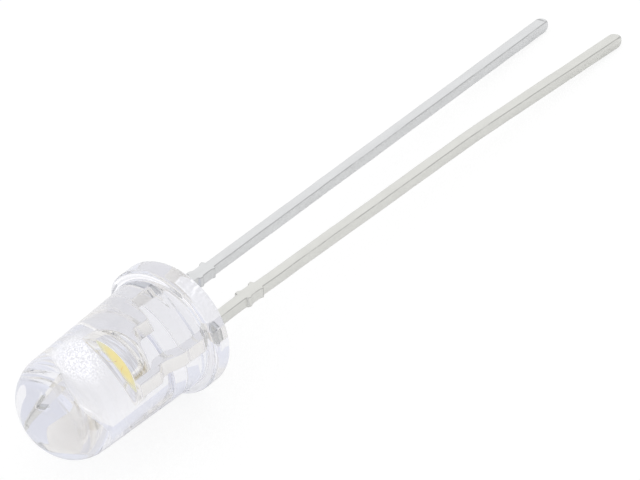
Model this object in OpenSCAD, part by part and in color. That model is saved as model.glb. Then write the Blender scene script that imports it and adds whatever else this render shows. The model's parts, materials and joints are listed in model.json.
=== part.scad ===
// Clear 5 mm round through-hole LED with a white-light die in a phosphor-filled cup.
// Upright, the lens axis is +Z, the seat (the flange's back face) is z = 0, the lead
// frame lies in the XZ plane with the cathode at -X, and the leads hang down -Z.
// lie_down() then turns every part from that upright pose to the way the part rests on
// a table: on the flange's rim and both lead tips, with the seat's centre as the origin.

/* [Lens body] */
// Height from the seat to the top of the lens
body_h = 8.7; // [7.5:0.1:9.5]
// Diameter of the body where it leaves the flange
body_d = 5.0; // [4.8:0.05:5.2]
// Draft of the body's side, in degrees
body_draft = 1.5; // [0:0.1:2]
// Radius of the lens's shoulder
shoulder_r = 1.7; // [1.2:0.1:2]
// Radius of the lens's crown
crown_r = 3.2; // [2.6:0.1:4]

/* [Flange] */
// Diameter of the flange
flange_d = 5.8; // [5.6:0.05:6]
// Thickness of the flange
flange_h = 0.95; // [0.8:0.05:1.2]
// Distance from the lens axis to the flat that marks the cathode
flat_x = 2.5; // [2.45:0.01:2.6]

/* [Leads] */
// Distance between the leads' centres at the seat
pitch = 2.54; // [2.5:0.01:2.6]
// Side of the square lead wire
lead_w = 0.5; // [0.45:0.01:0.55]
// Length of the cathode lead below the seat
cathode_l = 26.9; // [24:0.1:30]
// How much longer the anode lead is
anode_extra = 0.8; // [0.5:0.1:2]
// How far the lead frame lies off the lens axis, out of its own plane
frame_offset = 0.08; // [0:0.01:0.15]
// Lean of the frame's inner end towards the cathode, in degrees
frame_lean = 1.5; // [0:0.5:4]
// Droop of both leads below their bends, out of the frame's plane, in degrees
lead_droop = 1.6; // [0:0.05:3]
// Outward splay of the anode lead, in degrees
anode_splay = 1.0; // [0:0.1:2]
// Further outward angle of the anode lead past its second bend, in degrees
anode_bow = 2.2; // [0:0.1:4]
// Width over the stubs that the sheared dam bar leaves
stub_w = 0.72; // [0.6:0.02:0.9]

/* [Reflector cup] */
// Height of the cup's rim above the seat
cup_z = 4.4; // [4:0.1:5]
// Inner diameter of the cup's rim
cup_d = 1.74; // [1.5:0.02:1.8]
// Depth of the cup
cup_depth = 0.6; // [0.5:0.05:0.7]
// Depth from the rim to the phosphor's surface
phosphor_drop = 0.22; // [0.15:0.01:0.26]

/* [Die] */
// Side of the square die
die_w = 0.34; // [0.25:0.01:0.38]
// Height of the die
die_h = 0.12; // [0.08:0.01:0.15]
// Diameter of the bond wires
wire_d = 0.03; // [0.025:0.005:0.04]

/* [Hidden] */
$fn = 96;
eps = 0.01;

// Flange and body radii, and the rounding of their edges.
flange_r = flange_d/2;
body_r = body_d/2;
flange_back_round = 0.08;
flange_front_round = 0.22;
flange_fillet = 0.14;
flat_cut = 2;

// Lens: where its shoulder starts and how far its crown reaches. Its radius is taken
// lens_drop below the top.
lens_drop = 1.5;
lens_r = body_r - (body_h - flange_h - lens_drop)*tan(body_draft);
crown_half = asin((lens_r - shoulder_r)/(crown_r - shoulder_r));
shoulder_z = body_h - crown_r + (crown_r - shoulder_r)*cos(crown_half);

// Leads: corner rounding, stubs and where the anode lead splays and bows.
corner_r = 0.06;
stub_top = -2.9;
stub_bottom = -3.85;
bend_z = -2.4;
bow_z = -18.3;
tip_chamfer = 0.12;
chamfer_angle = 30;
anode_l = cathode_l + anode_extra;

// Reflector cup: inner floor, rim land and outer wall.
cup_floor_z = cup_z - cup_depth;
cup_floor_r = 0.45;
cup_rim_r = cup_d/2;
rim_land = 0.09;
cup_outer_r = cup_rim_r + rim_land;
cup_skirt_z = cup_z - 0.42;
bowl_bottom_z = 3.0;
bowl_bottom_r = 0.3;
bowl_arc_r = 1.0;
bowl_arc_start = -62;
phosphor_z = cup_z - phosphor_drop;
phosphor_bulge = 0.05;

// Die, its glue and its two bond pads, which lie at +-pad_x along the frame.
glue_h = 0.03;
glue_spread = 0.05;
die_z = cup_floor_z + glue_h;
pad_x = 0.10;

// The wires' loops: steps, height added, and how the curve leans towards the die.
loop_steps = 12;
loop_rise = 0.42;
loop_pull = 1.6;
loop_lean = 0.7;

// The wires' stitches, and where they land: the post's top and the cup's rim land.
stitch_d = 0.07;
stitch_h = 0.03;
post_top_z = 4.5;
post_inner_x = 1.14;
post_outer_x = 1.56;
anode_stitch = [1.32, 0, post_top_z];
cathode_stitch = [-(cup_rim_r + rim_land/2), 0, cup_z];

// Rest pose. The leads' tips and the flange's rim touch the table, so the axis tilts by
// `rest_tilt` with the lens up, and the longer anode rolls the part by `rest_roll`.
anode_reach = anode_l + bend_z;
bow_reach = anode_l + bow_z;
bow_slope = tan(anode_splay + anode_bow) - tan(anode_splay);
anode_tip_x = pitch/2 + anode_reach*tan(anode_splay) + bow_reach*bow_slope;
tip_span = anode_tip_x + pitch/2;
tip_offset = anode_tip_x - pitch/2;
lead_slope = 2*(flange_r - lead_w/2)/(anode_l + cathode_l - tip_offset*anode_extra/tip_span);
rest_roll = asin(anode_extra*lead_slope/tip_span);
drooping = anode_l + cathode_l + 2*bend_z;
mean_droop = (2*frame_offset + drooping*tan(lead_droop))/(anode_l + cathode_l);
rest_tilt = atan(lead_slope - mean_droop);

// Points on an arc about [cx, cy], from angle a0 to a1, in n steps.
function arc(cx, cy, r, a0, a1, n) =
    [for (i = [0:n]) [cx + r*cos(a0 + (a1 - a0)*i/n), cy + r*sin(a0 + (a1 - a0)*i/n)]];

// A square outline with rounded corners, centred.
function round_square(w, h, r) = concat(
    arc(w/2 - r, h/2 - r, r, 0, 90, 3),
    arc(-w/2 + r, h/2 - r, r, 90, 180, 3),
    arc(-w/2 + r, -h/2 + r, r, 180, 270, 3),
    arc(w/2 - r, -h/2 + r, r, 270, 360, 3));

// Unit vector of v.
function unit(v) = v/norm(v);

// A point of the frame's plane above the seat, turned by the frame's lean.
function leant(p) = [p[0]*cos(frame_lean) - p[1]*sin(frame_lean),
                     p[0]*sin(frame_lean) + p[1]*cos(frame_lean)];

// Turns a part from upright to its rest on the table.
module lie_down() {
    rotate([0, rest_tilt - 90, 0])
        rotate([0, 0, rest_roll - 90])
            children();
}

// Sets a piece of the lead frame off the lens axis.
module set_off() {
    translate([0, -frame_offset, 0])
        children();
}

// Leans what the frame's inner end carries.
module lean() {
    rotate([0, -frame_lean, 0])
        children();
}

// Plate cut from the lead frame, lead_w thick: an outline in the frame's plane, which
// leans above the seat.
module stamped(points) {
    rotate([90, 0, 0])
        linear_extrude(height = lead_w, center = true)
            polygon([for (p = points) p[1] > 0 ? leant(p) : p]);
}

// ---------------------------------------------------------------- lens body

// Half section of flange, body and lens, from the seat's centre round to the crown.
module lens_section() {
    polygon(concat(
        [[0, 0]],
        arc(flange_r - flange_back_round, flange_back_round, flange_back_round, -90, 0, 3),
        arc(flange_r - flange_front_round, flange_h - flange_front_round,
            flange_front_round, 0, 90, 6),
        arc(body_r + flange_fillet, flange_h + flange_fillet, flange_fillet, 270, 180, 4),
        arc(lens_r - shoulder_r, shoulder_z, shoulder_r, 0, 90 - crown_half, 14),
        [for (i = [1:9]) let (a = 90 - crown_half + crown_half*i/10)
            [crown_r*cos(a), body_h - crown_r + crown_r*sin(a)]],
        [[0, body_h]]));
}

module epoxy_body() {
    color([0.9, 0.93, 0.97, 0.35])
        lie_down()
            difference() {
                rotate_extrude()
                    lens_section();
                translate([-flat_x - flat_cut, -flange_r, -eps])
                    cube([flat_cut, 2*flange_r, flange_h + flange_fillet/2 + eps]);
                set_off() {
                    cathode_frame();
                    anode_frame();
                    lean() {
                        phosphor_solid();
                        wire(anode_route());
                        wire(cathode_route());
                        stitch(anode_stitch);
                        stitch(cathode_stitch);
                    }
                }
            }
}

// ------------------------------------------------------------------- leads

// Square wire along -Z from z = 0 to z = -l, with a chamfered tip.
module lead_wire(l) {
    difference() {
        translate([0, 0, -l])
            linear_extrude(height = l)
                polygon(round_square(lead_w, lead_w, corner_r));
        for (a = [0:90:270])
            rotate([0, 0, a])
                translate([lead_w/2, 0, -l])
                    rotate([0, chamfer_angle, 0])
                        cube([2*tip_chamfer, 2*lead_w, 2*lead_w], center = true);
    }
}

// The lead below the seat: square to it as far as the bend, drooped and splayed to the
// bow and bowed to the tip, with the stubs that the dam bar leaves on both sides.
module outer_lead(l, splay, bow) {
    translate([0, 0, bend_z - eps])
        linear_extrude(height = -bend_z + 2*eps)
            polygon(round_square(lead_w, lead_w, corner_r));
    translate([0, 0, bend_z])
        rotate([-lead_droop, -splay, 0]) {
            translate([0, 0, bow_z - bend_z])
                linear_extrude(height = bend_z - bow_z + lead_w/4)
                    polygon(round_square(lead_w, lead_w, corner_r));
            translate([-stub_w/2, -lead_w/2 + corner_r, stub_bottom - bend_z])
                cube([stub_w, lead_w - 2*corner_r, stub_top - stub_bottom]);
            translate([0, 0, bow_z - bend_z])
                rotate([0, -bow, 0])
                    translate([0, 0, lead_w/4])
                        lead_wire(l + bow_z + lead_w/4);
        }
}

// Cathode: lead, anvil and the coined cup that holds the die.
module cathode_frame() {
    x_lead = -pitch/2;
    difference() {
        union() {
            translate([x_lead, 0, 0])
                outer_lead(cathode_l, 0, 0);
            stamped(concat(
                [[x_lead - lead_w/2, -eps], [x_lead + lead_w/2, -eps],
                 [x_lead + lead_w/2, 1.25]],
                arc(-0.6, 1.72, 0.2, -62, 0, 4),
                arc(0.2, 2.3, 0.6, 180, 120, 4),
                [[0.25, 3.1], [-0.9, 3.6], [-1.2, 3.45]],
                arc(-1.3, 3.0, 0.22, 50, 180, 4)));
            lean()
                rotate_extrude()
                    polygon(concat(
                        [[0, bowl_bottom_z], [bowl_bottom_r, bowl_bottom_z]],
                        arc(cup_outer_r - bowl_arc_r, cup_skirt_z, bowl_arc_r,
                            bowl_arc_start, 0, 8),
                        [[cup_outer_r, cup_z], [0, cup_z]]));
        }
        lean()
            cup_hollow();
    }
}

// The cup's inside: a polished cone above a flat floor.
module cup_hollow() {
    translate([0, 0, cup_floor_z])
        cylinder(h = cup_depth, r1 = cup_floor_r, r2 = cup_rim_r);
}

module cathode_lead() {
    color("silver")
        lie_down()
            set_off()
                cathode_frame();
}

// Anode: lead, necked shoulder and the post that takes the bond wire.
module anode_frame() {
    x_lead = pitch/2;
    translate([x_lead, 0, 0])
        outer_lead(anode_l, anode_splay, anode_bow);
    stamped([[x_lead - lead_w/2, -eps], [x_lead + lead_w/2, -eps],
             [x_lead + lead_w/2, 1.8], [1.25, 2.6], [1.25, 2.95], [post_outer_x, 3.25],
             [post_outer_x, post_top_z], [post_inner_x, post_top_z], [post_inner_x, 3.55],
             [0.84, 3.1], [0.8, 2.9], [0.86, 2.35], [x_lead - lead_w/2, 1.7]]);
}

module anode_lead() {
    color("silver")
        lie_down()
            set_off()
                anode_frame();
}

// --------------------------------------------------------------- die and glue

module die_block() {
    translate([-die_w/2, -die_w/2, die_z])
        cube([die_w, die_w, die_h]);
}

module led_die() {
    color([0.75, 0.8, 0.85])
        lie_down()
            set_off()
                lean()
                    die_block();
}

module glue_pad() {
    translate([-die_w/2 - glue_spread, -die_w/2 - glue_spread, cup_floor_z])
        cube([die_w + 2*glue_spread, die_w + 2*glue_spread, glue_h]);
}

module die_attach() {
    color([0.8, 0.8, 0.78])
        lie_down()
            set_off()
                lean()
                    glue_pad();
}

// ------------------------------------------------------------------ phosphor

// Phosphor resin as poured: it fills the cup's cone and stands a little proud in the
// middle, where surface tension crowns it.
module phosphor_solid() {
    fill_h = phosphor_z - cup_floor_z;
    fill_r = cup_floor_r + (cup_rim_r - cup_floor_r)*fill_h/cup_depth;
    crown = (fill_r*fill_r + phosphor_bulge*phosphor_bulge)/(2*phosphor_bulge);
    half = asin(fill_r/crown);
    rotate_extrude()
        polygon(concat(
            [[0, cup_floor_z], [cup_floor_r, cup_floor_z]],
            [for (i = [0:5]) let (a = 90 - half + half*i/6)
                [crown*cos(a), phosphor_z + phosphor_bulge - crown + crown*sin(a)]],
            [[0, phosphor_z + phosphor_bulge]]));
}

module phosphor_fill() {
    color([0.98, 0.85, 0.2])
        lie_down()
            set_off()
                lean()
                    difference() {
                        phosphor_solid();
                        glue_pad();
                        die_block();
                        wire(anode_route());
                        wire(cathode_route());
                    }
}

// ---------------------------------------------------------------- bond wires

// Route of a wire's loop: straight up from the ball on the die, over in a half wave, and
// down to the stitch. x0 and x1 are the two ends along the frame, z1 is the stitch's height.
function loop_route(x0, x1, z1) =
    let (z0 = die_z + die_h)
    concat(
        [[x0, 0, z0]],
        [for (i = [1:loop_steps]) let (t = i/loop_steps)
            [x0 + (x1 - x0)*pow(t, loop_pull), 0,
             z0 + (z1 - z0)*t + loop_rise*sin(180*pow(t, loop_lean))]]);

function anode_route() = loop_route(pad_x, anode_stitch[0], anode_stitch[2]);
function cathode_route() = loop_route(-pad_x, cathode_stitch[0], cathode_stitch[2]);

// Direction of the route at point i, flat ends at the die and at the stitch.
function heading(path, i) =
    i == 0 || i == len(path) - 1 ? [0, 0, i == 0 ? 1 : -1]
    : unit(unit(path[i + 1] - path[i]) + unit(path[i] - path[i - 1]));

// Eight-sided wire swept along a route that stays in the frame's plane.
module wire(path) {
    sides = 8;
    n = len(path);
    rings = [for (i = [0:n - 1]) let (d = heading(path, i), side = [d[2], 0, -d[0]])
        for (k = [0:sides - 1]) let (a = 360*k/sides)
            path[i] + wire_d/2*(cos(a)*side + [0, sin(a), 0])];
    polyhedron(
        points = rings,
        faces = concat(
            [[for (k = [0:sides - 1]) sides - 1 - k]],
            [for (i = [0:n - 2]) for (k = [0:sides - 1])
                [i*sides + k, i*sides + (k + 1) % sides,
                 (i + 1)*sides + (k + 1) % sides, (i + 1)*sides + k]],
            [[for (k = [0:sides - 1]) (n - 1)*sides + k]]));
}

// Flattened foot where a wire is pressed onto the frame.
module stitch(at) {
    translate(at)
        cylinder(h = stitch_h, d = stitch_d, $fn = 24);
}

module bond_wire_anode() {
    color("gold")
        lie_down()
            set_off()
                lean() {
                    wire(anode_route());
                    stitch(anode_stitch);
                }
}

module bond_wire_cathode() {
    color("gold")
        lie_down()
            set_off()
                lean() {
                    wire(cathode_route());
                    stitch(cathode_stitch);
                }
}

epoxy_body();
cathode_lead();
anode_lead();
led_die();
die_attach();
phosphor_fill();
bond_wire_anode();
bond_wire_cathode();
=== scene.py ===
"""Clear 5 mm light-emitting diode, lying on a pale table in soft light.

Laid out as an add-on: one operator for each group of pieces and one for the studio. Run as a
script, it builds them all around the fixed frame.
"""

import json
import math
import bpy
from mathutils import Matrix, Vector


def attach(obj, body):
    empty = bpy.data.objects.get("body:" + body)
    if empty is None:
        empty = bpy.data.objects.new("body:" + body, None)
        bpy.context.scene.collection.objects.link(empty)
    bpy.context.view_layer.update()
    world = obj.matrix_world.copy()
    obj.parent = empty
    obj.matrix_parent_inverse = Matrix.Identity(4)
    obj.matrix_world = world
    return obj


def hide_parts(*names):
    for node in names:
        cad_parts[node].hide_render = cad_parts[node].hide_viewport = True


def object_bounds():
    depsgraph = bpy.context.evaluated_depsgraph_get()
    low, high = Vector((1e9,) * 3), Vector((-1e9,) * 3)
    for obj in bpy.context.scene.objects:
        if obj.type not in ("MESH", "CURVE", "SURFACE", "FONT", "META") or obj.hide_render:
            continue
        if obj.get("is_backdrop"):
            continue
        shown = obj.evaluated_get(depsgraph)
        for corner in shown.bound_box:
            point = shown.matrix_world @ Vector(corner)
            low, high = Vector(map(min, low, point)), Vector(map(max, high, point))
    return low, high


bl_info = {
    "name": "Clear round light-emitting diode",
    "version": (1, 0, 0),
    "blender": (4, 5, 0),
    "location": "3D View > Sidebar > Diode",
    "description": "Builds a clear round light-emitting diode and the studio that it lies in",
    "category": "Object",
}

import bpy
from bpy.props import FloatProperty, PointerProperty, StringProperty
from bpy.types import Operator, Panel, PropertyGroup
from mathutils import Matrix, Vector, noise

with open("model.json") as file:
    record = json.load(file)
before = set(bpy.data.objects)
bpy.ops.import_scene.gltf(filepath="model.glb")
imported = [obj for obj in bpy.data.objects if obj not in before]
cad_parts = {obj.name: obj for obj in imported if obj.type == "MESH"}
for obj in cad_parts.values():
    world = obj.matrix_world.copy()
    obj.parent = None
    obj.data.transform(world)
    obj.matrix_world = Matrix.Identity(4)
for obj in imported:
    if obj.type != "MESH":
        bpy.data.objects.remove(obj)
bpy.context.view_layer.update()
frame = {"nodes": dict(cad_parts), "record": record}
MM = 0.001
BODY = "root"


# ------------------------------------------------------------------ sizes and colours


def length(name, description, millimetres):
    """A length property, given in millimetres and kept in metres."""
    return FloatProperty(name=name, description=description, default=millimetres * MM,
                         unit="LENGTH", precision=5)


def angle(name, description, degrees):
    """An angle property, given in degrees and kept in radians."""
    return FloatProperty(name=name, description=description, default=math.radians(degrees),
                         unit="ROTATION")


def shade(name, description, code):
    """A colour property, as an sRGB hex code."""
    return StringProperty(name=name, description=description, default=code)


class LensSizes(PropertyGroup):
    """Sizes of the cast epoxy body."""

    height: length("Height", "Height from the seat to the top of the lens", 8.7)
    diameter: length("Diameter", "Diameter of the body where it leaves the flange", 5.0)
    draft: angle("Draft", "Taper of the body's side", 1.5)
    shoulder: length("Shoulder radius", "Radius of the lens's shoulder", 1.7)
    crown: length("Crown radius", "Radius of the lens's crown", 3.2)
    flange: length("Flange diameter", "Diameter of the flange", 5.8)
    flange_height: length("Flange thickness", "Thickness of the flange", 0.95)
    flat: length("Flat distance", "Distance from the lens axis to the flange's flat", 2.5)
    meniscus: length("Meniscus", "How far the epoxy creeps up each lead at the seat", 0.13)


class LeadSizes(PropertyGroup):
    """Sizes of the two leads."""

    pitch: length("Pitch", "Distance between the leads at the seat", 2.54)
    width: length("Width", "Side of the square lead wire", 0.5)
    corner: length("Corner radius", "Rounding of the wire's edges", 0.075)
    cathode: length("Cathode length", "Length of the cathode lead below the seat", 26.9)
    extra: length("Anode extra", "How much longer the anode lead is", 0.8)
    bend: length("Bend", "Distance from the seat to where the leads bend", 2.4)
    offset: length("Offset", "How far the frame lies off the lens axis", 0.08)
    lean: angle("Lean", "Lean of the frame's inner end towards the cathode", 1.5)
    droop: angle("Droop", "Droop of both leads below their bends", 1.6)
    splay: angle("Splay", "Outward bend of the anode lead", 1.0)
    bow_start: length("Bow start", "Distance from the seat to the anode's second bend", 18.3)
    bow: angle("Bow", "Outward angle of the anode lead's second bend", 2.2)
    ripple: length("Ripple", "Unevenness of the solder on the leads", 0.012)


class CupSizes(PropertyGroup):
    """Sizes of the reflector cup and of what it holds."""

    rim: length("Rim height", "Height of the cup's rim above the seat", 4.4)
    diameter: length("Rim diameter", "Inner diameter of the cup's rim", 1.74)
    depth: length("Depth", "Depth of the cup", 0.6)
    floor_radius: length("Floor radius", "Radius of the cup's flat floor", 0.45)
    land: length("Rim land", "Width of the flat land round the rim", 0.09)
    drop: length("Phosphor drop", "Depth from the rim to the phosphor's edge", 0.22)
    bulge: length("Phosphor crown", "How far the phosphor's middle stands up", 0.05)
    wire: length("Wire diameter", "Diameter of the gold bond wires", 0.025)
    loop: length("Wire loop", "Height that the bond wires' loops add", 0.42)


class Finishes(PropertyGroup):
    """Colours of the pieces and of the studio."""

    epoxy: shade("Epoxy", "Tint of the clear epoxy", "F5F5F9")
    tin: shade("Tin", "Colour of the cathode's fresh tin", "E3E4E5")
    aged: shade("Aged tin", "Colour of the anode's slightly yellowed tin", "E2E2DE")
    silver: shade("Silver", "Colour of the silvered frame inside the body", "F8F6F1")
    phosphor: shade("Phosphor", "Colour of the phosphor resin", "FBEA9E")
    thin: shade("Thin phosphor", "Colour of the phosphor where it is thin", "EDEDD2")
    gold: shade("Gold", "Colour of the bond wires", "F4EDDA")
    sapphire: shade("Sapphire", "Colour of the die", "C9D6E2")
    glue: shade("Glue", "Colour of the silver-filled glue", "BDBDB8")
    table: shade("Table", "Colour of the white table", "FBFBFB")
    backdrop: shade("Backdrop", "Cold white of the tent, as seen through the epoxy", "F0F2FA")


class StudioSizes(PropertyGroup):
    """Where the camera stands and how strong the light is."""

    azimuth: angle("Azimuth", "Camera's turn from straight in front", -48.35)
    elevation: angle("Elevation", "Camera's height above the horizon", 38.70)
    roll: angle("Roll", "Camera's turn about its own line of sight", -6.12)
    distance: length("Distance", "Distance from the camera to what it aims at", 406.9)
    aim_x: length("Aim X", "Point that the camera aims at, along the leads", 9.444)
    aim_z: length("Aim Z", "Height of the point that the camera aims at", -2.163)
    lens: FloatProperty(name="Lens", description="Focal length in millimetres", default=548.95)
    tent: FloatProperty(name="Tent", description="Brightness of the light tent", default=0.97)
    flag: FloatProperty(name="Dark side", description="Share of that on the tent's darker side",
                        default=0.9)


# ------------------------------------------------------------------ small geometry tools


def arc(x, y, radius, start, end, steps):
    """Points on an arc about (x, y), from one angle in degrees to another."""
    turn = [math.radians(start + (end - start) * i / steps) for i in range(steps + 1)]
    return [(x + radius * math.cos(a), y + radius * math.sin(a)) for a in turn]


def smooth(low, high, value):
    """0 below low, 1 above high and an S curve between them."""
    t = min(1.0, max(0.0, (value - low) / (high - low)))
    return t * t * (3 - 2 * t)


def along(table, value):
    """Straight-line reading of a table of (place, value) pairs."""
    for (a, va), (b, vb) in zip(table, table[1:]):
        if a <= value <= b:
            return va + (vb - va) * (value - a) / (b - a)
    return table[0][1] if value < table[0][0] else table[-1][1]


def wobble(place, seed, scale):
    """Smooth unevenness between about -1 and 1 that repeats in every run."""
    return 1.6 * noise.noise(Vector((place / scale, seed, 0.5)))


def rings_to_faces(rings, count):
    """Quads between closed rings of count points each, with a face at both ends."""
    faces = [
        (i * count + k, i * count + (k + 1) % count,
         (i + 1) * count + (k + 1) % count, (i + 1) * count + k)
        for i in range(rings - 1) for k in range(count)
    ]
    last = (rings - 1) * count
    return faces + [tuple(reversed(range(count))), tuple(range(last, last + count))]


def rest_turn():
    """Turn from upright, lens up, to how the part lies: tilted by the leads, and rolled a
    little because the anode lead is longer."""
    leads, lens = bpy.context.scene.diode_leads, bpy.context.scene.diode_lens
    anode = leads.cathode + leads.extra
    further = math.tan(leads.splay + leads.bow) - math.tan(leads.splay)
    offset = ((anode - leads.bend) * math.tan(leads.splay)
              + (anode - leads.bow_start) * further)
    span = leads.pitch + offset
    total = 2 * leads.cathode + leads.extra - offset * leads.extra / span
    slope = (lens.flange - leads.width) / total
    roll = math.asin(leads.extra * slope / span)
    seat = next(m for m in frame["record"]["mounts"] if m["name"] == "seat")
    tilt = math.asin(-seat["axis"][2])
    quarter = math.pi / 2
    return Matrix.Rotation(tilt - quarter, 4, "Y") @ Matrix.Rotation(roll - quarter, 4, "Z")


def in_frame(lean=True):
    """How a piece of the lead frame sits in the body: off the axis, and leaning or not."""
    leads = bpy.context.scene.diode_leads
    turn = Matrix.Rotation(-leads.lean if lean else 0.0, 4, "Y")
    return Matrix.Translation((0, -leads.offset, 0)) @ turn


def add_piece(name, points, faces, material, node, sharp=40, seat=Matrix()):
    """A piece from upright points and faces, seated in the body and laid down with it. It is
    smooth but for sharp edges, rides on the body and stands for a node of the frame."""
    mesh = bpy.data.meshes.new(name)
    mesh.from_pydata([Vector(p) for p in points], [], faces)
    mesh.transform(rest_turn() @ seat)
    mesh.validate()
    mesh.shade_smooth()
    mesh.set_sharp_from_angle(angle=math.radians(sharp))
    mesh.materials.append(material)
    piece = bpy.data.objects.new(name, mesh)
    bpy.context.scene.collection.objects.link(piece)
    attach(piece, BODY)
    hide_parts(node)
    return piece


def mark(piece, name, values):
    """Gives each point of a piece a number that its material reads by name."""
    piece.data.attributes.new(name, "FLOAT", "POINT").data.foreach_set("value", values)


def lathe(profile, steps):
    """Points and faces of a closed turned solid. The profile's two ends lie on the axis."""
    inner = profile[1:-1]
    points = [
        (r * math.cos(2 * math.pi * k / steps), r * math.sin(2 * math.pi * k / steps), z)
        for r, z in inner for k in range(steps)
    ]
    faces = rings_to_faces(len(inner), steps)[:-2]
    last = (len(inner) - 1) * steps
    first_pole, last_pole = len(points), len(points) + 1
    points += [(0, 0, profile[0][1]), (0, 0, profile[-1][1])]
    for k in range(steps):
        after = (k + 1) % steps
        faces.append((first_pole, after, k))
        faces.append((last_pole, last + k, last + after))
    return points, faces


def rounded(corners, steps=6):
    """Outline in metres from (x, z, radius) corners in millimetres, each filleted."""
    result = []
    for i, (x, z, radius) in enumerate(corners):
        here = Vector((x, z))
        back = (Vector(corners[i - 1][:2]) - here).normalized()
        ahead = (Vector(corners[(i + 1) % len(corners)][:2]) - here).normalized()
        half = back.angle(ahead) / 2
        centre = here + (back + ahead).normalized() * radius / math.sin(half)
        start = here + back * radius / math.tan(half) - centre
        turn = start.angle_signed(here + ahead * radius / math.tan(half) - centre, 0.0)
        count = steps if radius else 0
        for k in range(count + 1):
            spun = Matrix.Rotation(-turn * k / max(count, 1), 2) @ start
            result.append(tuple((centre + spun) * MM))
    return result


def inset(outline, depth):
    """An anticlockwise outline moved inwards by depth."""
    moved = []
    for i, corner in enumerate(outline):
        here = Vector(corner)
        back = (here - Vector(outline[i - 1])).normalized()
        ahead = (Vector(outline[(i + 1) % len(outline)]) - here).normalized()
        normal = Vector((-back.y - ahead.y, back.x + ahead.x)).normalized()
        share = max(0.5, normal.dot(Vector((-ahead.y, ahead.x))))
        moved.append(tuple(here + normal * depth / share))
    return moved


def leant(corners):
    """The (x, z, radius) corners of a plate, turned above the seat by the frame's lean."""
    turn = Matrix.Rotation(bpy.context.scene.diode_leads.lean, 2)
    return [(*(turn @ Vector((x, z))), radius) if z > 0.1 else (x, z, radius)
            for x, z, radius in corners]


def plate(outline, thickness, edge):
    """Points and faces of a stamped plate in the XZ plane, with rounded edges."""
    steps = 4
    turns = [math.radians(90 * i / steps) for i in range(steps + 1)]
    layers = [(edge * (1 - math.sin(a)), -thickness / 2 + edge * (1 - math.cos(a)))
              for a in turns]
    layers += [(depth, -y) for depth, y in reversed(layers)]
    points = [(x, y, z) for depth, y in layers for x, z in inset(outline, depth)]
    faces = rings_to_faces(len(layers), len(outline))
    return points, [tuple(reversed(face)) for face in faces]


# ------------------------------------------------------------------ materials


def linear(code, alpha=1.0):
    """An sRGB hex code as a linear colour."""
    parts = [int(code[i:i + 2], 16) / 255 for i in (0, 2, 4)]
    channels = [c / 12.92 if c <= 0.04045 else ((c + 0.055) / 1.055) ** 2.4 for c in parts]
    return (*channels, alpha)


def add_node(tree, kind, inputs=None, **settings):
    """Adds a node, sets its settings, and sets or links its inputs."""
    node = tree.nodes.new(kind)
    for name, value in settings.items():
        setattr(node, name, value)
    for name, value in (inputs or {}).items():
        if isinstance(value, bpy.types.NodeSocket):
            tree.links.new(value, node.inputs[name])
        else:
            node.inputs[name].default_value = value
    return node


def new_material(name):
    """An empty node material and its tree."""
    material = bpy.data.materials.new(name)
    material.use_nodes = True
    material.node_tree.nodes.clear()
    return material, material.node_tree


def close_material(material, tree, shader):
    """Links the shader to the material's output."""
    add_node(tree, "ShaderNodeOutputMaterial", {"Surface": shader.outputs[0]})
    return material


def cast_clear_epoxy():
    """Clear epoxy cast in a polished mould: glassy, with a faint waviness that bends what
    lies behind it and a very slight cold tint."""
    material, tree = new_material("cast_clear_epoxy")
    place = add_node(tree, "ShaderNodeTexCoord")
    wave = add_node(tree, "ShaderNodeTexNoise",
                    {"Vector": place.outputs["Object"], "Scale": 1 / (1.6 * MM), "Detail": 1.0})
    bump = add_node(tree, "ShaderNodeBump",
                    {"Height": wave.outputs[0], "Strength": 0.25, "Distance": 0.01 * MM})
    shader = add_node(tree, "ShaderNodeBsdfPrincipled", {
        "Base Color": linear(bpy.context.scene.diode_finishes.epoxy),
        "Roughness": 0.0, "IOR": 1.53, "Transmission Weight": 1.0,
        "Normal": bump.outputs[0]})
    return close_material(material, tree, shader)


def painted_edge_share(tree, fine, edge):
    """Share of a metal's brightness: edge in broken, painted dark reflection lines on its sharp
    edges and on the points marked as a ridge, and 1 elsewhere. The lines break where the noise
    fine is low."""
    shape = add_node(tree, "ShaderNodeNewGeometry")
    sharp = add_node(tree, "ShaderNodeMapRange", {
        "Value": shape.outputs["Pointiness"], "From Min": 0.54, "From Max": 0.56})
    ridge = add_node(tree, "ShaderNodeAttribute", attribute_name="ridge")
    marked = add_node(tree, "ShaderNodeMath",
                      {0: sharp.outputs[0], 1: ridge.outputs["Fac"]}, operation="MAXIMUM")
    broken = add_node(tree, "ShaderNodeMapRange", {
        "Value": fine.outputs[0], "From Min": 0.35, "From Max": 0.5, "To Min": 0.3})
    painted_line = add_node(tree, "ShaderNodeMath",
                    # painted dark reflection lines on the sharp edges and ridges
                    {0: marked.outputs[0], 1: broken.outputs[0]}, operation="MULTIPLY")
    return add_node(tree, "ShaderNodeMapRange", {
        "Value": painted_line.outputs[0], "To Min": 1.0, "To Max": edge})


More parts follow.
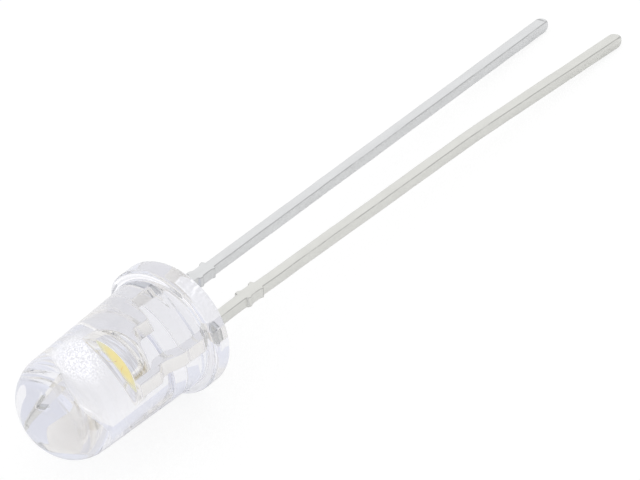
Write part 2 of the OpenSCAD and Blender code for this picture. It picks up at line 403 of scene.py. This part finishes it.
def metal(name, code, roughness, grain, depth, stretch=1.0, spread=0.0, edge=1.0):
    """A metal whose fine surface is noise of one grain and depth in metres. Stretch draws the
    noise out along the leads, and spread is how far it shifts the brightness. Painted dark
    reflection lines on its edges keep the share edge of that brightness."""
    material, tree = new_material(name)
    place = add_node(tree, "ShaderNodeTexCoord")
    turned = add_node(tree, "ShaderNodeMapping",
                      {"Vector": place.outputs["Object"], "Scale": (1 / stretch, 1, 1)})
    fine = add_node(tree, "ShaderNodeTexNoise",
                    {"Vector": turned.outputs[0], "Scale": 1 / grain, "Detail": 4.0})
    tone = add_node(tree, "ShaderNodeMapRange",
                    {"Value": fine.outputs[0], "To Min": 1 - spread, "To Max": 1 + spread})
    share = painted_edge_share(tree, fine, edge)
    shaded = add_node(tree, "ShaderNodeMath", {0: tone.outputs[0], 1: share.outputs[0]},
                      operation="MULTIPLY")
    tint = add_node(tree, "ShaderNodeVectorMath",
                    {0: linear(code)[:3], "Scale": shaded.outputs[0]}, operation="SCALE")
    gloss = add_node(tree, "ShaderNodeMapRange", {
        "Value": fine.outputs[0], "To Min": roughness * 0.8, "To Max": roughness * 1.3})
    bump = add_node(tree, "ShaderNodeBump",
                    {"Height": fine.outputs[0], "Strength": 0.6, "Distance": depth})
    shader = add_node(tree, "ShaderNodeBsdfPrincipled", {
        "Base Color": tint.outputs[0], "Roughness": gloss.outputs[0], "Metallic": 1.0,
        "Normal": bump.outputs[0]})
    return close_material(material, tree, shader)


def tinned_steel(name, code):
    """Steel dipped in solder: a soft grey shine with slow ripples along the wire, and painted
    dark reflection lines on its edges."""
    # edge=0.66 darkens the edges with painted reflection lines
    return metal(name, code, roughness=0.32, grain=0.35 * MM, depth=0.012 * MM, stretch=3.0,
                 spread=0.08, edge=0.66)


def silver_plated_steel():
    """Stamped strip with a bright silver plate: mirror-like, with faint die marks."""
    return metal("silver_plated_steel", bpy.context.scene.diode_finishes.silver,
                 roughness=0.08, grain=0.3 * MM, depth=0.002 * MM, stretch=2.0, spread=0.04)


def coined_silver_painted_stripes():
    """The silver plate on the pressed cup: fine rings from the punch, with bright and dull
    stripes of reflection painted on them.
    """
    # spread 0.4 paints the rings' bright and dull stripes of reflection
    return metal("coined_silver_painted_stripes", bpy.context.scene.diode_finishes.silver,
                 roughness=0.08, grain=0.6 * MM, depth=0.002 * MM, stretch=0.16, spread=0.4)


def drawn_gold():
    """Soft gold wire, drawn: warm and shiny."""
    return metal("drawn_gold", bpy.context.scene.diode_finishes.gold,
                 roughness=0.2, grain=0.02 * MM, depth=0.0005 * MM, spread=0.03)


def silver_filled_glue():
    """Silver-filled epoxy glue: a dull grey paste with flakes."""
    return metal("silver_filled_glue", bpy.context.scene.diode_finishes.glue,
                 roughness=0.55, grain=0.012 * MM, depth=0.002 * MM, spread=0.15)


def phosphor_resin():
    """Garnet phosphor powder in clear resin: a saturated yellow paste that pales where it is
    thin at the cup's wall, grainy close up, with a soft painted glow of its own colour."""
    finishes = bpy.context.scene.diode_finishes
    material, tree = new_material("phosphor_resin")
    place = add_node(tree, "ShaderNodeTexCoord")
    powder = add_node(tree, "ShaderNodeTexNoise",
                      {"Vector": place.outputs["Object"], "Scale": 1 / (0.02 * MM)})
    tone = add_node(tree, "ShaderNodeMapRange",
                    {"Value": powder.outputs[0], "To Min": 0.92, "To Max": 1.06})
    reach = add_node(tree, "ShaderNodeAttribute", attribute_name="reach")
    pale = add_node(tree, "ShaderNodeMapRange", {
        "Value": reach.outputs["Fac"], "From Min": 0.5, "From Max": 1.0})
    thick, thin = (Vector(linear(code)[:3]) for code in (finishes.phosphor, finishes.thin))
    depth = add_node(tree, "ShaderNodeVectorMath",
                     {0: pale.outputs[0], 1: thin - thick, 2: thick}, operation="MULTIPLY_ADD")
    tint = add_node(tree, "ShaderNodeVectorMath",
                    {0: depth.outputs[0], "Scale": tone.outputs[0]}, operation="SCALE")
    bump = add_node(tree, "ShaderNodeBump",
                    {"Height": powder.outputs[0], "Strength": 0.3, "Distance": 0.002 * MM})
    # the emission is a painted glow in the phosphor's own colour
    shader = add_node(tree, "ShaderNodeBsdfPrincipled", {
        "Base Color": tint.outputs[0], "Roughness": 0.6, "IOR": 1.5,
        "Emission Color": tint.outputs[0], "Emission Strength": 0.4,
        "Normal": bump.outputs[0]})
    return close_material(material, tree, shader)


def polished_sapphire():
    """Sapphire die: smooth, faintly blue, with a glassy glint."""
    material, tree = new_material("polished_sapphire")
    place = add_node(tree, "ShaderNodeTexCoord")
    cells = add_node(tree, "ShaderNodeTexNoise",
                     {"Vector": place.outputs["Object"], "Scale": 1 / (0.05 * MM)})
    gloss = add_node(tree, "ShaderNodeMapRange",
                     {"Value": cells.outputs[0], "To Min": 0.08, "To Max": 0.2})
    shader = add_node(tree, "ShaderNodeBsdfPrincipled", {
        "Base Color": linear(bpy.context.scene.diode_finishes.sapphire),
        "Roughness": gloss.outputs[0], "IOR": 1.77})
    return close_material(material, tree, shader)


# Painted pools of light on the table, standing for light that the lens would throw: x, y and
# reach, in millimetres.
PAINTED_LIGHT_POOLS = ((-3.6, 1.4, 1.8), (2.8, 3.8, 1.8))
TABLE_LEVEL = -2.9  # height of the table, in millimetres
WHITE_LEVEL = 1.05  # brightness of the table's even white, just past full
CAMERA_LIFT = 0.8  # share of that white that the camera sees, and the rest is lit card
EPOXY_LIFT = 0.55  # the same through the epoxy


def painted_light_pools(tree, place):
    """How strongly each place on the table is lit by the painted pools of light, fading out
    from the middle.
    """
    total = None
    for x, y, reach in PAINTED_LIGHT_POOLS:
        apart = add_node(tree, "ShaderNodeVectorMath",
                         {0: place.outputs["Object"], 1: Vector((x, y, TABLE_LEVEL)) * MM},
                         operation="DISTANCE")
        pool = add_node(tree, "ShaderNodeMapRange", {
            "Value": apart.outputs["Value"], "From Min": reach * MM,
            "From Max": 0.3 * reach * MM}, interpolation_type="SMOOTHSTEP")
        total = pool if total is None else add_node(
            tree, "ShaderNodeMath", {0: total.outputs[0], 1: pool.outputs[0]}, operation="ADD")
    return total


def white_table():
    """Matt white card. The camera sees it near its full white, with the object's soft shadow on
    it. Through the epoxy it has painted, grainy pools of light, which give the lens a painted
    sparkle, and from below it is clear."""
    material, tree = new_material("white_table")
    place = add_node(tree, "ShaderNodeTexCoord")
    fibre = add_node(tree, "ShaderNodeTexNoise",
                     {"Vector": place.outputs["Object"], "Scale": 1 / (0.12 * MM),
                      "Detail": 3.0})
    bump = add_node(tree, "ShaderNodeBump",
                    {"Height": fibre.outputs[0], "Strength": 0.5, "Distance": 0.02 * MM})
    paper = add_node(tree, "ShaderNodeBsdfDiffuse", {
        "Color": linear(bpy.context.scene.diode_finishes.table), "Normal": bump.outputs[0]})
    # painted glints: a bright grain that lights up the painted pools, seen only through the
    # epoxy
    grains = add_node(tree, "ShaderNodeTexNoise",
                      {"Vector": place.outputs["Object"], "Scale": 1 / (0.06 * MM)})
    glint = add_node(tree, "ShaderNodeMapRange", {
        "Value": grains.outputs[0], "From Min": 0.47, "From Max": 0.62, "To Min": 0.05,
        "To Max": 1.0})
    eye = add_node(tree, "ShaderNodeLightPath")
    pool = painted_light_pools(tree, place)
    inner = add_node(tree, "ShaderNodeMath", {
        0: pool.outputs[0], 1: eye.outputs["Is Transmission Ray"]}, operation="MULTIPLY")
    # painted pools of light and their painted glints, added over the table's even white
    bright = add_node(tree, "ShaderNodeMath", {
        0: glint.outputs[0], 1: inner.outputs[0], 2: WHITE_LEVEL}, operation="MULTIPLY_ADD")
    white = add_node(tree, "ShaderNodeEmission", {"Strength": bright.outputs[0]})
    through = add_node(tree, "ShaderNodeMath", {
        0: eye.outputs["Is Transmission Ray"], 1: EPOXY_LIFT}, operation="MULTIPLY")
    lift = add_node(tree, "ShaderNodeMath", {
        0: eye.outputs["Is Camera Ray"], 1: CAMERA_LIFT, 2: through.outputs[0]},
        operation="MULTIPLY_ADD")
    seen = add_node(tree, "ShaderNodeMixShader",
                    {"Fac": lift.outputs[0], 1: paper.outputs[0], 2: white.outputs[0]})
    side = add_node(tree, "ShaderNodeNewGeometry")
    clear = add_node(tree, "ShaderNodeBsdfTransparent")
    mixed = add_node(tree, "ShaderNodeMixShader", {
        "Fac": side.outputs["Backfacing"], 1: seen.outputs[0], 2: clear.outputs[0]})
    return close_material(material, tree, mixed)


# ------------------------------------------------------------------ epoxy body


def lens_profile(lens):
    """Half section from the seat's centre, round the flange and the side, to the crown."""
    flange_r, body_r = lens.flange / 2, lens.diameter / 2
    back, front = 0.08 * MM, 0.22 * MM  # rounding of the flange's two edges
    fillet = 0.14 * MM  # rounding of the corner between the flange and the side
    dome = 1.5 * MM  # height of the lens above the tapered side
    straight_top = lens.height - dome
    lens_r = body_r - (straight_top - lens.flange_height) * math.tan(lens.draft)
    half = math.degrees(math.asin((lens_r - lens.shoulder) / (lens.crown - lens.shoulder)))
    crown_z = lens.height - lens.crown
    shoulder_z = crown_z + (lens.crown - lens.shoulder) * math.cos(math.radians(half))
    seat_rings = 70  # close enough for the meniscus at each lead
    seat_r = flange_r - back
    profile = [(seat_r * i / seat_rings, 0.0) for i in range(seat_rings)]
    profile += arc(seat_r, back, back, -90, 0, 5)
    profile += arc(flange_r - front, lens.flange_height - front, front, 0, 90, 10)
    profile += arc(body_r + fillet, lens.flange_height + fillet, fillet, 270, 180, 8)
    profile += arc(lens_r - lens.shoulder, shoulder_z, lens.shoulder, 0, 90 - half, 28)
    profile += arc(0, crown_z, lens.crown, 90 - half, 90, 14)[1:]
    return profile


class DIODE_OT_lens_body(Operator):
    """Casts the clear epoxy body: flange with its flat, tapered side and lens"""

    bl_idname = "diode.lens_body"
    bl_label = "Epoxy body"

    def execute(self, context):
        lens, leads = context.scene.diode_lens, context.scene.diode_leads
        points, faces = lathe(lens_profile(lens), steps=288)
        flat_top = lens.flange_height + 0.2 * MM  # the flat also trims the fillet
        fade = 0.11 * MM  # how soon the meniscus dies out beside a lead
        shaped = []
        for x, y, z in points:
            if z < flat_top:
                x = max(x, -lens.flat)
            if z <= 0:
                for lead_x in (-leads.pitch / 2, leads.pitch / 2):
                    gap = math.hypot(max(abs(x - lead_x) - leads.width / 2, 0),
                                     max(abs(y + leads.offset) - leads.width / 2, 0))
                    z -= lens.meniscus * math.exp(-gap / fade)
            shaped.append((x, y, z))
        add_piece("lens_body", shaped, faces, cast_clear_epoxy(), "epoxy_body")
        return {"FINISHED"}


# ------------------------------------------------------------------ leads


# Reach of the sheared dam bar past each wire's two sides, by depth below the seat, in
# millimetres.
STUB_LEFT = [(2.80, 0.0), (2.85, 0.15), (2.99, 0.16), (3.12, 0.07), (3.35, 0.06),
             (3.60, 0.07), (3.70, 0.15), (3.84, 0.17), (3.89, 0.0)]
STUB_RIGHT = [(2.84, 0.0), (2.89, 0.10), (3.02, 0.13), (3.12, 0.06), (3.45, 0.05),
              (3.70, 0.06), (3.77, 0.11), (3.83, 0.10), (3.88, 0.0)]
CROPPED = 0.3 * MM  # length over which a lead's cropped tip is rounded
CORNER_STEPS = 5  # steps round each corner of the wire
# Outlines of the stamped anvil and of the post above their shanks, anticlockwise: x, height
# above the seat and corner radius, in millimetres.
ANVIL = [(-0.4, 1.6, 0.14), (-0.4, 2.55, 0.4), (0.25, 3.1, 0.08), (-0.9, 3.6, 0.08),
         (-1.2, 3.45, 0.08), (-1.52, 3.1, 0.15)]
POST = [(1.25, 2.6, 0.12), (1.25, 2.95, 0.1), (1.56, 3.25, 0.1), (1.56, 4.5, 0.06),
        (1.14, 4.5, 0.06), (1.14, 3.55, 0.15), (0.82, 3.1, 0.12), (0.82, 2.35, 0.2)]
SHANK_START = 0.05  # where both shanks begin above the seat, in millimetres
STAMPED_EDGE = 0.04 * MM  # rounding of a stamped plate's edges


def wire_stations(tip):
    """Depths below the seat at which the wire has a ring: close at the stubs and the tip."""
    inside, spacing = 0.3 * MM, 0.15 * MM
    stub_top, stub_spacing, stub_rings = 2.76 * MM, 0.04 * MM, 31
    least = 0.002 * MM
    depths = [-inside + spacing * i for i in range(int((tip + inside) / spacing))]
    depths += [stub_top + stub_spacing * i for i in range(stub_rings)]
    depths += [tip - CROPPED * (1 - math.sin(math.radians(a))) for a in range(0, 91, 10)]
    kept = []
    for depth in sorted(d for d in depths if d <= tip):
        if not kept or depth - kept[-1] > least:
            kept.append(depth)
    return kept


def wire_ring(depth, tip, leads, seed):
    """Outline of the wire at one depth, in its own plane. Each side has its own unevenness,
    read from a far part of the same noise."""
    half = leads.width / 2
    uneven = [leads.ripple * wobble(depth / MM + 40 * side, seed, scale=1.1)
              for side in range(4)]
    left = half + along(STUB_LEFT, depth / MM) * MM + uneven[0] / 2
    right = half + along(STUB_RIGHT, depth / MM) * MM + uneven[1] / 2
    low, high = half + uneven[2] / 2, half + uneven[3] / 2
    end = min(1.0, max(0.0, 1 - (tip - depth) / CROPPED))
    taper = 0.5 + 0.5 * math.sqrt(max(0.0, 1 - end * end))
    corner = leads.corner + (0.9 * half - leads.corner) * end
    ring = []
    for cx, cy, start in ((right - corner, high - corner, 0),
                          (corner - left, high - corner, 90),
                          (corner - left, corner - low, 180),
                          (right - corner, corner - low, 270)):
        ring += arc(cx * taper, cy * taper, corner * taper, start, start + 90, CORNER_STEPS)
    return ring


def lead_wire(name, x, tip, splay, bow, seed, node, material):
    """One lead below the seat, with its bends, its stubs and its cropped tip. The middle of
    each corner is marked as a ridge, where a dark reflection line is painted."""
    leads = bpy.context.scene.diode_leads
    bend_half, bow_half = 0.3 * MM, 2 * MM  # half the length of each bend
    depths = wire_stations(tip)
    points = []
    centre, before = Vector((x, 0, 0)), 0.0
    for depth in depths:
        bent = smooth(leads.bend - bend_half, leads.bend + bend_half, depth)
        bowed = smooth(leads.bow_start - bow_half, leads.bow_start + bow_half, depth)
        turn = (Matrix.Rotation(-splay * bent - bow * bowed, 4, "Y")
                @ Matrix.Rotation(-leads.droop * bent, 4, "X"))
        centre = centre + turn @ Vector((0, 0, before - depth))
        before = depth
        for px, py in wire_ring(depth, tip, leads, seed):
            points.append(tuple(centre + turn @ Vector((px, py, 0))))
    count = len(points) // len(depths)
    faces = [tuple(reversed(f)) for f in rings_to_faces(len(depths), count)]
    wire = add_piece(name, points, faces, material, node,
                     seat=in_frame(lean=False))
    # ridge: where the painted dark reflection line runs
    middle = (CORNER_STEPS // 2, CORNER_STEPS // 2 + 1)
    mark(wire, "ridge", [1.0 if i % (CORNER_STEPS + 1) in middle else 0.0
                         for i in range(len(points))])


def stamped_plate(name, outline, node):
    """A stamped and silver-plated plate of the lead frame, above the seat."""
    width = bpy.context.scene.diode_leads.width
    points, faces = plate(rounded(leant(outline)), width, STAMPED_EDGE)
    add_piece(name, points, faces, silver_plated_steel(), node, sharp=50,
              seat=in_frame(lean=False))


class DIODE_OT_cathode(Operator):
    """Makes the cathode: lead, stamped anvil and the coined reflector cup"""

    bl_idname = "diode.cathode"
    bl_label = "Cathode and cup"

    def execute(self, context):
        leads, cup = context.scene.diode_leads, context.scene.diode_cup
        lead_wire("cathode_wire", x=-leads.pitch / 2, tip=leads.cathode, splay=0.0, bow=0.0,
                  seed=3.0, node="cathode_lead",
                  material=tinned_steel("tinned_steel", context.scene.diode_finishes.tin))
        x, half = -leads.pitch / 2 / MM, leads.width / 2 / MM
        shank = [(x - half, SHANK_START, 0), (x + half, SHANK_START, 0), (x + half, 1.25, 0.1)]
        stamped_plate("cathode_anvil", shank + ANVIL, "cathode_lead")
        points, faces = lathe(cup_profile(cup), steps=128)
        add_piece("reflector_cup", points, faces, coined_silver_painted_stripes(),
                  "cathode_lead", sharp=50, seat=in_frame())
        return {"FINISHED"}


def cup_profile(cup):
    """Half section of the cup: bowl, rim land and the polished cone down to the floor."""
    rim_r, edge = cup.diameter / 2, 0.02 * MM
    outer_r = rim_r + cup.land
    foot_r, foot_z = 0.3 * MM, 3.0 * MM  # flat underside, sunk in the anvil
    bowl_r, skirt_z = 1.0 * MM, cup.rim - 0.42 * MM  # round bowl up to an upright skirt
    floor_z = cup.rim - cup.depth
    slope = math.degrees(math.atan2(cup.depth, rim_r - cup.floor_radius))
    profile = [(0.0, foot_z), (foot_r, foot_z)]
    profile += arc(outer_r - bowl_r, skirt_z, bowl_r, -62, 0, 16)
    profile += arc(outer_r - edge, cup.rim - edge, edge, 0, 90, 4)
    profile += arc(rim_r + edge, cup.rim - edge, edge, 90, 180 - (90 - slope), 4)
    profile += [(cup.floor_radius + 0.03 * MM, floor_z + 0.03 * MM),
                (cup.floor_radius - 0.02 * MM, floor_z), (0.0, floor_z)]
    return profile


class DIODE_OT_anode(Operator):
    """Makes the anode: lead and the stamped post that takes the bond wire"""

    bl_idname = "diode.anode"
    bl_label = "Anode"

    def execute(self, context):
        leads = context.scene.diode_leads
        lead_wire("anode_wire", x=leads.pitch / 2, tip=leads.cathode + leads.extra,
                  splay=leads.splay, bow=leads.bow, seed=11.0, node="anode_lead",
                  material=tinned_steel("aged_tinned_steel", context.scene.diode_finishes.aged))
        x, half = leads.pitch / 2 / MM, leads.width / 2 / MM
        shank = [(x - half, SHANK_START, 0), (x + half, SHANK_START, 0), (x + half, 1.8, 0.15)]
        stamped_plate("anode_post", shank + POST + [(x - half, 1.7, 0.15)], "anode_lead")
        return {"FINISHED"}


# ------------------------------------------------------------------ inside the cup


class DIODE_OT_phosphor(Operator):
    """Pours the phosphor resin into the cup, over the die and its glue"""

    bl_idname = "diode.phosphor"
    bl_label = "Phosphor, die and glue"

    def execute(self, context):
        cup, nodes = context.scene.diode_cup, frame["nodes"]
        floor_z, edge_z = cup.rim - cup.depth, cup.rim - cup.drop
        rise = (edge_z - floor_z) / cup.depth
        fill_r = cup.floor_radius + (cup.diameter / 2 - cup.floor_radius) * rise
        radius = (fill_r ** 2 + cup.bulge ** 2) / (2 * cup.bulge)
        half = math.degrees(math.asin(fill_r / radius))
        profile = [(0.0, floor_z), (cup.floor_radius, floor_z)]
        profile += arc(0, edge_z + cup.bulge - radius, radius, 90 - half, 90, 12)
        points, faces = lathe(profile, steps=96)
        pool = add_piece("phosphor_pool", points, faces, phosphor_resin(),
                         "phosphor_fill", sharp=50, seat=in_frame())
        mark(pool, "reach", [math.hypot(x, y) / fill_r for x, y, _ in points])
        for node, material in (("led_die", polished_sapphire()),
                               ("die_attach", silver_filled_glue())):
            nodes[node].data.materials.clear()
            nodes[node].data.materials.append(material)
        return {"FINISHED"}


BALL = (2.4, 2.7, 1.5)  # thickness of a bond wire's first rings, in wire diameters


def bond_wire(name, start, end, node, material):
    """A gold wire from its ball on the die, steeply up in a loop and down to its stitch. Its
    ends are (x, height) above the seat."""
    cup = bpy.context.scene.diode_cup
    sides, count = 12, 48
    last = count - 1
    path = []
    for i in range(count):
        t = i / last
        x = start[0] + (end[0] - start[0]) * t ** 1.6
        z = start[1] + (end[1] - start[1]) * t + cup.loop * math.sin(math.pi * t ** 0.7)
        path.append(Vector((x, 0, z)))
    points = []
    for i, here in enumerate(path):
        ahead = (path[min(i + 1, last)] - path[max(i - 1, 0)]).normalized()
        across = Vector((ahead.z, 0, -ahead.x))
        fat = cup.wire / 2
        if i < len(BALL):
            fat *= BALL[i]
        for k in range(sides):
            a = 2 * math.pi * k / sides
            points.append(tuple(here + fat * (math.cos(a) * across
                                              + math.sin(a) * Vector((0, 1, 0)))))
    faces = rings_to_faces(count, sides)
    add_piece(name, points, faces, material, node, sharp=60, seat=in_frame())


class DIODE_OT_bond_wires(Operator):
    """Bonds the two gold wires from the die to the post and to the cup's rim"""

    bl_idname = "diode.bond_wires"
    bl_label = "Bond wires"

    def execute(self, context):
        cup = context.scene.diode_cup
        pad_x, pad_z = 0.10 * MM, cup.rim - cup.depth + 0.15 * MM  # bond pads on the die
        post_x, post_z = 1.32 * MM, 4.5 * MM  # stitch on the post's top
        gold = drawn_gold()
        bond_wire("wire_to_post", (pad_x, pad_z), (post_x, post_z), "bond_wire_anode", gold)
        bond_wire("wire_to_rim", (-pad_x, pad_z),
                  (-(cup.diameter + cup.land) / 2, cup.rim), "bond_wire_cathode", gold)
        return {"FINISHED"}


# ------------------------------------------------------------------ studio


DARK_SIDE = (0.62, -0.74, 0.26)  # direction of the light tent's darker side
DARK_CORE, DARK_EDGE = math.radians(10), math.radians(60)  # angles between which it fades


class DIODE_OT_studio(Operator):
    """Sets up the white table, the soft light and the camera"""

    bl_idname = "diode.studio"
    bl_label = "Studio"

    def execute(self, context):
        studio = context.scene.diode_studio
        self.lay_table()
        self.paint_surroundings(context)
        self.place_camera(studio)
        context.scene.view_settings.view_transform = "Standard"
        bounces = 32  # enough for light to find its way out of the epoxy
        cycles = context.scene.cycles
        cycles.max_bounces = cycles.glossy_bounces = cycles.transmission_bounces = bounces
        return {"FINISHED"}

    def lay_table(self):
        """A round table, a hair's breadth under the lowest point of the part."""
        count, radius, gap = 64, 1.6, 0.002 * MM
        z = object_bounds()[0].z - gap
        rim = [(x, y, z) for x, y in arc(0, 0, radius, 0, 360, count)][:-1]
        mesh = bpy.data.meshes.new("table")
        mesh.from_pydata(rim, [], [tuple(range(count))])
        mesh.materials.append(white_table())
        table = bpy.data.objects.new("table", mesh)
        bpy.context.scene.collection.objects.link(table)
        table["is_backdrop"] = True

    def paint_surroundings(self, context):
        """A white light tent with a slightly darker side. The camera sees it all as white, and
        through the epoxy it is a cold white."""
        studio = context.scene.diode_studio
        world = bpy.data.worlds.new("light_tent")
        bpy.context.scene.world = world
        world.use_nodes = True
        tree = world.node_tree
        tree.nodes.clear()
        place = add_node(tree, "ShaderNodeTexCoord")
        beside = add_node(tree, "ShaderNodeVectorMath", {
            0: place.outputs["Generated"], 1: Vector(DARK_SIDE)}, operation="DOT_PRODUCT")
        tent = add_node(tree, "ShaderNodeMapRange", {
            "Value": beside.outputs["Value"], "From Min": math.cos(DARK_EDGE),
            "From Max": math.cos(DARK_CORE), "To Min": studio.tent,
            "To Max": studio.tent * studio.flag}, interpolation_type="SMOOTHSTEP")
        eye = add_node(tree, "ShaderNodeLightPath")
        seen = add_node(tree, "ShaderNodeMix", {
            "Factor": eye.outputs["Is Camera Ray"], "A": tent.outputs[0], "B": 1.0})
        cold = Vector(linear(context.scene.diode_finishes.backdrop)[:3])
        white = Vector((1, 1, 1))
        colour = add_node(tree, "ShaderNodeVectorMath", {
            0: eye.outputs["Is Transmission Ray"], 1: cold - white, 2: white},
            operation="MULTIPLY_ADD")
        light = add_node(tree, "ShaderNodeBackground",
                         {"Color": colour.outputs[0], "Strength": seen.outputs[0]})
        add_node(tree, "ShaderNodeOutputWorld", {"Surface": light.outputs[0]})

    def place_camera(self, studio):
        """A long lens, far off, turned a little about its line of sight."""
        a, e = studio.azimuth, studio.elevation
        back = Vector((math.sin(a) * math.cos(e), -math.cos(a) * math.cos(e), math.sin(e)))
        data = bpy.data.cameras.new("camera")
        data.lens = studio.lens
        data.clip_start, data.clip_end = 0.01, 10
        camera = bpy.data.objects.new("camera", data)
        camera.location = Vector((studio.aim_x, 0, studio.aim_z)) + back * studio.distance
        level = (-back).to_track_quat("-Z", "Y").to_matrix().to_4x4()
        turn = level @ Matrix.Rotation(studio.roll, 4, "Z")
        camera.rotation_euler = turn.to_euler()
        bpy.context.scene.collection.objects.link(camera)
        bpy.context.scene.camera = camera


# ------------------------------------------------------------------ add-on


OPERATORS = (DIODE_OT_lens_body, DIODE_OT_cathode, DIODE_OT_anode, DIODE_OT_phosphor,
             DIODE_OT_bond_wires, DIODE_OT_studio)
GROUPS = {"diode_lens": LensSizes, "diode_leads": LeadSizes, "diode_cup": CupSizes,
          "diode_finishes": Finishes, "diode_studio": StudioSizes}


class DIODE_PT_parts(Panel):
    """Lists the pieces of the diode and their sizes"""

    bl_label = "Diode"
    bl_idname = "DIODE_PT_parts"
    bl_space_type = "VIEW_3D"
    bl_region_type = "UI"
    bl_category = "Diode"

    def draw(self, context):
        for operator in OPERATORS:
            self.layout.operator(operator.bl_idname)
        for name, group in GROUPS.items():
            box = self.layout.box()
            box.label(text=group.__doc__)
            for key in group.__annotations__:
                box.prop(getattr(context.scene, name), key)


def register():
    for name, group in GROUPS.items():
        bpy.utils.register_class(group)
        setattr(bpy.types.Scene, name, PointerProperty(type=group))
    for cls in (*OPERATORS, DIODE_PT_parts):
        bpy.utils.register_class(cls)


def unregister():
    for cls in reversed((*OPERATORS, DIODE_PT_parts)):
        bpy.utils.unregister_class(cls)
    for name, group in GROUPS.items():
        delattr(bpy.types.Scene, name)
        bpy.utils.unregister_class(group)


def main():
    """Builds every piece and the studio."""
    register()
    bpy.ops.diode.lens_body()
    bpy.ops.diode.cathode()
    bpy.ops.diode.anode()
    bpy.ops.diode.phosphor()
    bpy.ops.diode.bond_wires()
    bpy.ops.diode.studio()


if __name__ == "__main__":
    main()
